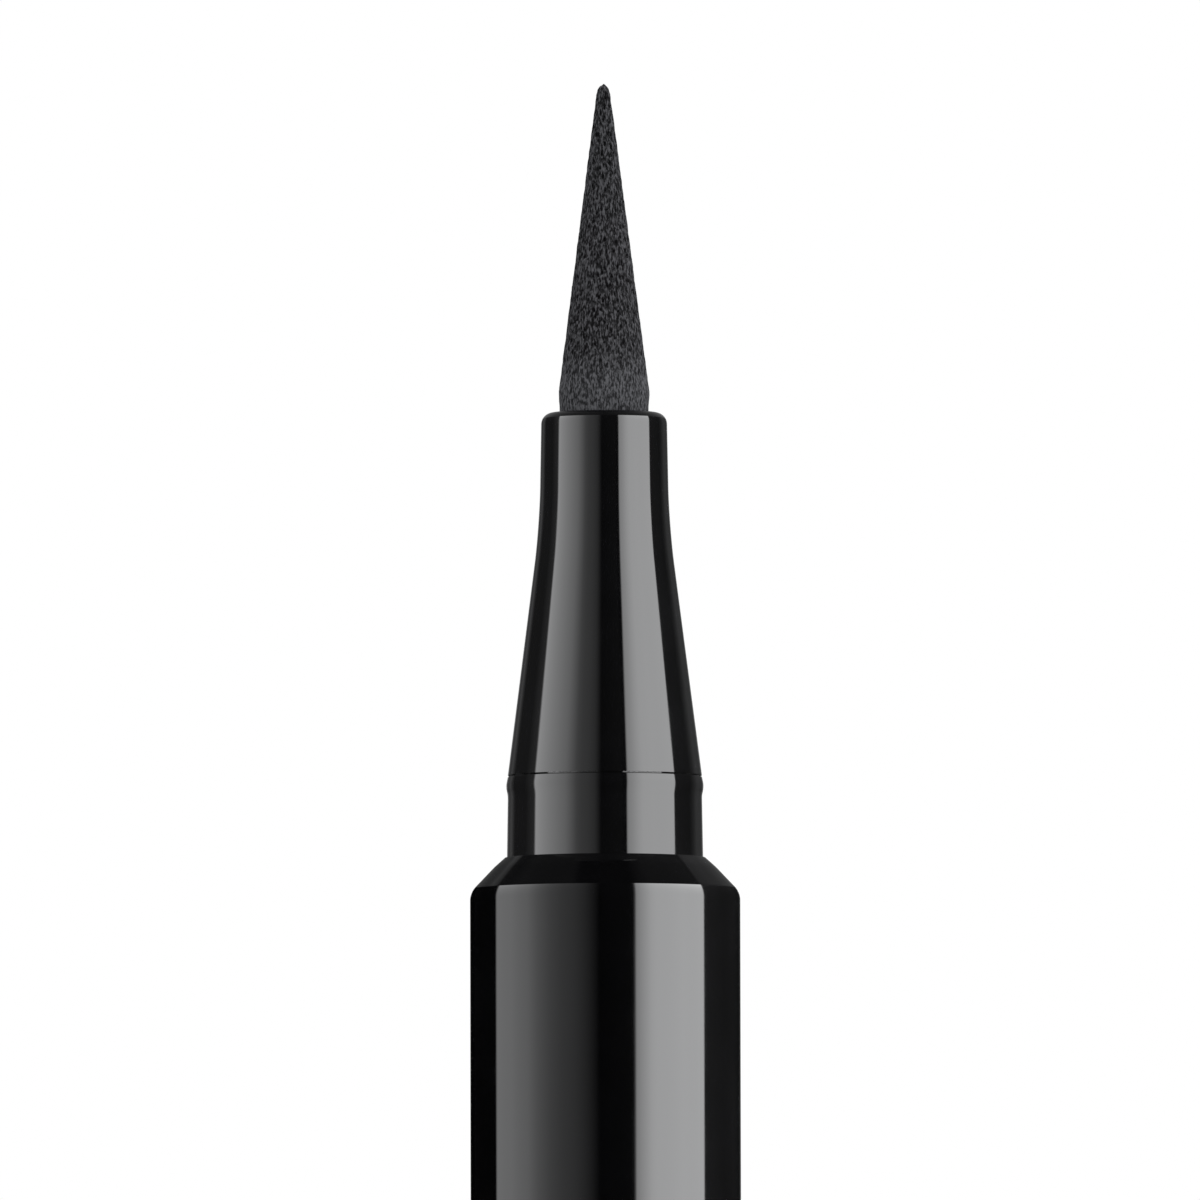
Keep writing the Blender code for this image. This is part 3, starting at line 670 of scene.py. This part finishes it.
def felt_tip():
    """The fibre tip: a long blunt cone, finely divided and then roughened."""
    low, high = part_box("fibre_tip")
    base = high.z - TIP_CONE
    shank = base - TIP_STRAIGHT
    drawn("felt_tip", [
        (0, low.z + TIP_SOCKET),
        (WICK_HOLE_R, low.z + TIP_SOCKET),
        (WICK_HOLE_R, low.z),
        (TIP_R - TIP_REAR_CHAMFER, low.z),
        (TIP_R, low.z + TIP_REAR_CHAMFER),
        (TIP_R, shank),
        (TIP_R, base),
        (TIP_POINT_R, high.z - TIP_POINT_LENGTH),
        *[(out * TIP_POINT_R, high.z - down * TIP_POINT_LENGTH) for out, down in TIP_POINT_SHARES],
        (0, high.z),
    ], {})
    pick(lambda place: base - WELD < place.z < high.z - TIP_POINT_LENGTH + WELD)
    bpy.ops.mesh.subdivide(number_cuts=TIP_CONE_CUTS)
    bpy.ops.mesh.subdivide(number_cuts=TIP_CONE_SPLITS)
    pick(lambda place: shank - WELD < place.z < base + WELD)
    bpy.ops.mesh.subdivide(number_cuts=TIP_STRAIGHT_CUTS)
    pick(lambda place: place.z > high.z - TIP_POINT_LENGTH - WELD)
    bpy.ops.mesh.subdivide(number_cuts=TIP_POINT_CUTS)
    tip = spun(TIP_SIDES)
    bpy.ops.object.modifier_add(type="NODES")
    tip.modifiers[-1].node_group = felt_relief()
    bpy.ops.object.modifier_apply(modifier=tip.modifiers[-1].name)
    bpy.ops.object.shade_smooth()
    return tip


def grooved_holder():
    """The bush that centres tip and wick in the nozzle, with air grooves down its outside."""
    low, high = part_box("tip_holder")
    holder = turned("grooved_holder", [
        (WICK_HOLE_R, low.z),
        (HOLDER_R, low.z),
        (HOLDER_R, high.z),
        (TIP_HOLE_R, high.z),
        (TIP_HOLE_R, high.z - HOLDER_SEAT),
        (WICK_HOLE_R, high.z - HOLDER_SEAT),
    ], {1: EDGE_ROUND, 2: FINE_EDGE, 3: FINE_EDGE}, INNER_SIDES)
    inner = Vector((HOLDER_R - AIR_GROOVE_DEPTH, -AIR_GROOVE_WIDTH / 2, low.z - MM))
    outer = Vector((HOLDER_R + MM, AIR_GROOVE_WIDTH / 2, high.z + MM))
    for number in range(AIR_GROOVES):
        slotted(holder, inner, outer, math.tau * number / AIR_GROOVES)
    return holder


def wick_rod():
    """The fibre rod from the ink to the tip."""
    low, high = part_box("feed_wick")
    return turned("wick_rod", [
        (0, low.z),
        (WICK_R, low.z),
        (WICK_R, high.z),
        (0, high.z),
    ], {1: WICK_CHAMFER, 2: WICK_CHAMFER}, INNER_SIDES)


def finned_collector():
    """The collector: a sealing collar, a stack of fins and a disc, with an ink and an air slot."""
    low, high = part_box("ink_collector")
    outline = [(WICK_HOLE_R, low.z), (FIN_R, low.z)]
    for number in range(SEAL_RIBS):
        middle = low.z + SEAL_COLLAR * (number + 1) / (SEAL_RIBS + 1)
        outline += [
            (FIN_R, middle - SEAL_RIB_WIDTH / 2),
            (FIN_R + SEAL_RIB_RISE, middle),
            (FIN_R, middle + SEAL_RIB_WIDTH / 2),
        ]
    fins = low.z + SEAL_COLLAR
    disc = fins + (FIN_COUNT + 1) * FIN_PITCH
    outline += [(FIN_R, fins), (CORE_R, fins)]
    for number in range(FIN_COUNT):
        fin = fins + FIN_PITCH * (number + 1) - FIN_THICKNESS / 2
        outline += [
            (CORE_R, fin),
            (FIN_R, fin),
            (FIN_R, fin + FIN_THICKNESS),
            (CORE_R, fin + FIN_THICKNESS),
        ]
    outline += [
        (CORE_R, disc),
        (FIN_R, disc),
        (FIN_R, disc + COLLECTOR_DISC),
        (HOLDER_R, disc + COLLECTOR_DISC),
        (HOLDER_R, high.z),
        (WICK_HOLE_R, high.z),
    ]
    collector = turned("finned_collector", outline, {1: FINE_EDGE}, INNER_SIDES)
    slotted(
        collector,
        Vector((-INK_SLOT / 2, INK_SLOT_FLOOR, low.z - MM)),
        Vector((INK_SLOT / 2, FIN_R + MM, disc)),
    )
    slotted(
        collector,
        Vector((-AIR_SLOT / 2, -FIN_R - MM, fins + (FIN_PITCH - FIN_THICKNESS) / 2)),
        Vector((AIR_SLOT / 2, -CORE_R - SEAT_GAP, disc + COLLECTOR_DISC + MM)),
    )
    return collector


def polished_ball(node):
    """A mixing ball: a half circle spun round and set in its place."""
    low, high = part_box(node)
    radius = (high.z - low.z) / 2
    turned(node + "_polished", [
        (0, low.z),
        (radius, low.z),
        (radius, high.z),
        (0, high.z),
    ], {1: radius, 2: radius}, INNER_SIDES)
    bpy.ops.object.mode_set(mode="EDIT")
    bpy.ops.mesh.select_all(action="SELECT")
    bpy.ops.transform.translate(value=((low.x + high.x) / 2, 0, 0))
    bpy.ops.object.mode_set(mode="OBJECT")
    return bpy.context.object


def tail_closure():
    """The tail plug: a plug in the barrel, the ring that shows, and the spigot with its bead."""
    low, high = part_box("tail_plug")
    seat = low.z + SPIGOT_LENGTH
    face = high.z - TAIL_DEPTH
    bead = seat - COLLAR_LENGTH
    bead_end = bead - BEAD_LENGTH
    outer = high.x
    return turned("tail_closure", [
        (0, low.z),
        (SPIGOT_R, low.z),
        (SPIGOT_R, bead_end),
        (COLLAR_TOP_R, bead_end),
        (BEAD_R, bead_end + BEAD_RAMP),
        (BEAD_R, bead - BEAD_RAMP),
        (COLLAR_TOP_R, bead),
        (NECK_R, seat),
        (MOUTH_R, seat),
        (outer, seat + outer - MOUTH_R),
        (outer, face),
        (TAIL_PLUG_R, face),
        (TAIL_PLUG_R, high.z),
        (TAIL_PLUG_R - TAIL_WALL, high.z),
        (TAIL_PLUG_R - TAIL_WALL, face),
        (SPIGOT_R - TAIL_WALL, seat),
        (SPIGOT_R - TAIL_WALL, low.z + TAIL_END),
        (0, low.z + TAIL_END),
    ], {
        1: SPIGOT_ROUND, 3: FINE_EDGE, 4: BEAD_TOP_BEND, 5: BEAD_TOP_BEND, 6: BEAD_FOOT_BEND,
        9: SHOULDER_BEND, 10: EDGE_ROUND, 12: EDGE_ROUND,
    })


def posted_cap():
    """The cap, closed end down, with a countersunk rim that fits the shoulder."""
    low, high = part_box("cap_shell")
    outer = high.x
    floor_height = low.z + CAP_END
    return turned("posted_cap", [
        (0, low.z),
        (outer, low.z),
        (outer, high.z),
        (CAP_RIM_R, high.z),
        (CAP_BORE_R, high.z - (CAP_RIM_R - CAP_BORE_R)),
        (CAP_BORE_R, floor_height),
        (BOSS_R, floor_height),
        (BOSS_R, floor_height + BOSS_HEIGHT),
        (0, floor_height + BOSS_HEIGHT),
    ], {1: CAP_END_ROUND, 2: EDGE_ROUND, 3: FINE_EDGE, 4: CAP_RIM_BEND, 7: EDGE_ROUND})


def snap_liner():
    """The sleeve in the cap, with the ring that snaps past the bead."""
    low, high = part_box("cap_liner")
    ring = high.z - COLLAR_LENGTH + SEAT_GAP
    ring_r = LINER_BORE_R - SNAP_RING_RISE
    return turned("snap_liner", [
        (LINER_BORE_R, low.z),
        (LINER_R, low.z),
        (LINER_R, high.z),
        (LINER_BORE_R + LINER_LEAD_WIDTH, high.z),
        (LINER_BORE_R, high.z - LINER_LEAD_DEPTH),
        (LINER_BORE_R, ring + SNAP_RING_LENGTH),
        (ring_r, ring + SNAP_RING_LENGTH - SNAP_RAMP),
        (ring_r, ring + SNAP_RAMP),
        (LINER_BORE_R, ring),
    ], {1: FINE_EDGE, 2: FINE_EDGE, 4: BEAD_TOP_BEND, 6: BEAD_TOP_BEND, 7: BEAD_TOP_BEND}, INNER_SIDES)


def sealing_cup():
    """The sprung cup that closes over the nozzle's head and keeps the tip wet."""
    low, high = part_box("inner_cap")
    back = low.z + BOSS_HEIGHT
    return turned("sealing_cup_moulding", [
        (0, low.z),
        (BOSS_R, low.z),
        (BOSS_R, back),
        (CUP_R, back),
        (CUP_R, high.z - CUP_FLANGE),
        (CUP_FLANGE_R, high.z - CUP_FLANGE),
        (CUP_FLANGE_R, high.z),
        (CUP_BORE_R + CUP_MOUTH_CHAMFER, high.z),
        (CUP_BORE_R, high.z - CUP_MOUTH_CHAMFER),
        (CUP_BORE_R, back + CUP_END),
        (0, back + CUP_END),
    ], {1: EDGE_ROUND, 3: CUP_ROUND, 5: FINE_EDGE, 6: FINE_EDGE, 7: FINE_EDGE}, INNER_SIDES)


def coil_spring():
    """The coil behind the cup: a round wire wound up by a Screw modifier, its ends closed."""
    low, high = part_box("cap_spring")
    deselect()
    bpy.ops.mesh.primitive_circle_add(vertices=SPRING_WIRE_SIDES, radius=SPRING_WIRE_R)
    spring = bpy.context.object
    spring.name = "coil_spring"
    bpy.ops.object.mode_set(mode="EDIT")
    bpy.ops.transform.rotate(value=math.pi / 2, orient_axis="X", center_override=(0, 0, 0))
    bpy.ops.transform.translate(value=(SPRING_R, 0, low.z + SPRING_WIRE_R))
    bpy.ops.object.mode_set(mode="OBJECT")
    bpy.ops.object.modifier_add(type="SCREW")
    winding = spring.modifiers[-1]
    winding.screw_offset = (high.z - low.z - 2 * SPRING_WIRE_R) / SPRING_TURNS
    winding.iterations = SPRING_TURNS
    winding.steps = winding.render_steps = SPRING_STEPS
    bpy.ops.object.modifier_apply(modifier=winding.name)
    bpy.ops.object.mode_set(mode="EDIT")
    bpy.ops.mesh.select_all(action="SELECT")
    bpy.ops.mesh.remove_doubles(threshold=WELD)
    bpy.ops.mesh.fill_holes(sides=SPRING_WIRE_SIDES)
    bpy.ops.mesh.normals_make_consistent(inside=False)
    bpy.ops.object.mode_set(mode="OBJECT")
    bpy.ops.object.shade_smooth_by_angle(angle=SPRING_SMOOTH_ANGLE)
    return spring


def floor():
    """A plain pale floor. Polished pieces mirror the lights rather than the floor."""
    deselect()
    bpy.ops.mesh.primitive_circle_add(vertices=FLOOR_SIDES, radius=FLOOR_RADIUS, fill_type="NGON")
    ground = bpy.context.object
    ground.name = "studio_floor"
    ground.visible_glossy = False
    dull = {"Roughness": FLOOR_ROUGHNESS, "Specular IOR Level": 0.0}
    material, place = finish("pale_floor", dull)
    feed(material, "Base Color", place.noise(scale=0.02).blend(FLOOR_DARK, FLOOR_LIGHT))
    ground.data.materials.append(material)


def ramp_of(wire, stops):
    """A brightness by angle in degrees, from -180 to 180. The wire is the angle in turns."""
    brightest = max(stops.values())
    ramp = {(angle + 180) / 360: brightness / brightest for angle, brightness in stops.items()}
    return wire.node("ShaderNodeValToRGB", {"stops": ramp}, {"Fac": wire + 0.5}) * brightest


def light_tent(name, radius, strips, crown, reach):
    """A see-through tent of light round the pen: upright soft boxes, and a dim crown above them.

    It is painted by the tilt of the polished face that would mirror each place to the front. strips
    gives the brightness by twice the angle round the pen of that face: 0 is the front and 90 the
    right. crown gives it for faces that look up more steeply than reach. Low down behind the pen,
    the boxes end.
    """
    deselect()
    bpy.ops.mesh.primitive_uv_sphere_add(
        segments=TENT_SEGMENTS, ring_count=TENT_RINGS, radius=radius
    )
    bpy.ops.object.mode_set(mode="EDIT")
    bpy.ops.transform.translate(value=(0, 0, TENT_CENTRE))
    bpy.ops.object.mode_set(mode="OBJECT")
    tent = bpy.context.object
    tent.name = name
    material = bpy.data.materials.new(name)
    material.use_nodes = True
    tree = material.node_tree
    tree.nodes.clear()
    place = Wire(tree).node("ShaderNodeTexCoord", output="Object")
    across = place.axis("X") / radius
    away = place.axis("Y") / radius
    rise = (place.axis("Z") - TENT_CENTRE) / radius
    toward = -VIEW_BACK.y - away
    upward = rise + VIEW_BACK.z
    tilt = upward / (across * across + toward * toward + upward * upward).math("SQRT")
    low_back = tilt.eased(*TENT_LOW_TILT) * away.eased(*TENT_BEHIND)
    side = 2 * across.math("ARCTAN2", across, toward) / math.tau
    steep = tilt.eased(math.sin(reach) - CROWN_EDGE, math.sin(reach) + CROWN_EDGE)
    upright = ramp_of(side, strips) * (1 - low_back)
    strength = upright * (1 - steep) + ramp_of(side, crown) * steep
    light = place.node("ShaderNodeEmission", inputs={"Color": TENT_WHITE, "Strength": strength})
    clear = place.node("ShaderNodeBsdfTransparent")
    both = place.node("ShaderNodeAddShader", inputs={0: light, 1: clear})
    place.node("ShaderNodeOutputMaterial", inputs={"Surface": both})
    material.cycles.emission_sampling = "NONE"
    tent.data.materials.append(material)
    tent.visible_camera = False
    tent.visible_shadow = False
    tent.visible_diffuse = False
    return tent


def lit(tent, pieces, state):
    """Lets a tent light only these pieces, or all but these."""
    chosen = bpy.data.collections.new(tent.name + "_pieces")
    tent.light_linking.receiver_collection = chosen
    for piece in pieces:
        chosen.objects.link(piece)
    for member in chosen.collection_objects:
        member.light_linking.link_state = state


def studio():
    """White behind the pen, and soft light for matt faces, a little stronger from the right.

    Polished faces mirror the tents instead.
    """
    world = bpy.data.worlds.new("studio")
    bpy.context.scene.world = world
    world.use_nodes = True
    tree = world.node_tree
    seen = Wire(tree).node("ShaderNodeLightPath", output="Is Camera Ray")
    mirrored = Wire(tree).node("ShaderNodeLightPath", output="Is Glossy Ray")
    right = Wire(tree).node("ShaderNodeTexCoord", output="Generated").axis("X")
    soft = SOFT_LIGHT * (1 + SOFT_RIGHT_SHARE * right) * (1 - mirrored)
    strength = seen + soft * (1 - seen)
    tree.links.new(strength.socket, tree.nodes["Background"].inputs["Strength"])
    tree.nodes["Background"].inputs["Color"].default_value = (1, 1, 1, 1)


def camera():
    """The photograph's view: square on, from a little below, with a long lens."""
    data = bpy.data.cameras.new("camera")
    view = bpy.data.objects.new("camera", data)
    bpy.context.scene.collection.objects.link(view)
    bpy.context.scene.camera = view
    data.sensor_width = SENSOR
    data.lens = SENSOR * VIEW_DISTANCE / VIEW_WIDTH
    data.clip_start = NEAREST
    view.location = Vector((-VIEW_SIDE, 0, VIEW_HEIGHT)) + VIEW_BACK * VIEW_DISTANCE
    view.rotation_mode = "QUATERNION"
    roll = Quaternion((0, 0, 1), VIEW_ROLL)
    view.rotation_quaternion = (-VIEW_BACK).to_track_quat("-Z", "Y") @ roll


barrel_black = gloss_black("gloss_black_barrel", BARREL_HAZE)
nozzle_black = gloss_black("gloss_black_nozzle", NOZZLE_HAZE)
milky = natural_plastic("natural_plastic_inside")
felt = charcoal_felt()
ball_steel = steel("ball_steel_polished", polish=0.05, upright=1.0)
wire_steel = steel("spring_steel_wire", polish=0.2, upright=0.2)

barrel = installed(barrel_sleeve(), "outer_barrel", "pen", barrel_black)
tail = installed(tail_closure(), "tail_plug", "pen", barrel_black)
cap = installed(posted_cap(), "cap_shell", "cap", barrel_black)
installed(tank_and_collar(), "inner_barrel", "pen", nozzle_black)
installed(nozzle_taper(), "nozzle", "pen", nozzle_black)
installed(felt_tip(), "fibre_tip", "pen", felt)
installed(grooved_holder(), "tip_holder", "pen", milky)
installed(wick_rod(), "feed_wick", "pen", inked_fibre())
installed(finned_collector(), "ink_collector", "pen", milky)
installed(polished_ball("mixing_ball_1"), "mixing_ball_1", "ball_1", ball_steel)
installed(polished_ball("mixing_ball_2"), "mixing_ball_2", "ball_2", ball_steel)
installed(snap_liner(), "cap_liner", "cap", satin_black())
installed(sealing_cup(), "inner_cap", "sealing_cup", milky)
spring = installed(coil_spring(), "cap_spring", "cap", wire_steel)
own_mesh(spring)

floor()
studio()
camera()
front_tent = light_tent("nozzle_light", TENT_RADIUS, NOZZLE_STRIPS, NOZZLE_CROWN, NOZZLE_REACH)
barrel_tent = light_tent(
    "barrel_light", TENT_RADIUS + TENT_GAP, BARREL_STRIPS, BARREL_CROWN, BARREL_REACH
)
barrel_group = [barrel, tail, cap]
lit(front_tent, barrel_group, "EXCLUDE")
lit(barrel_tent, barrel_group, "INCLUDE")

bpy.context.scene.view_settings.view_transform = "Standard"
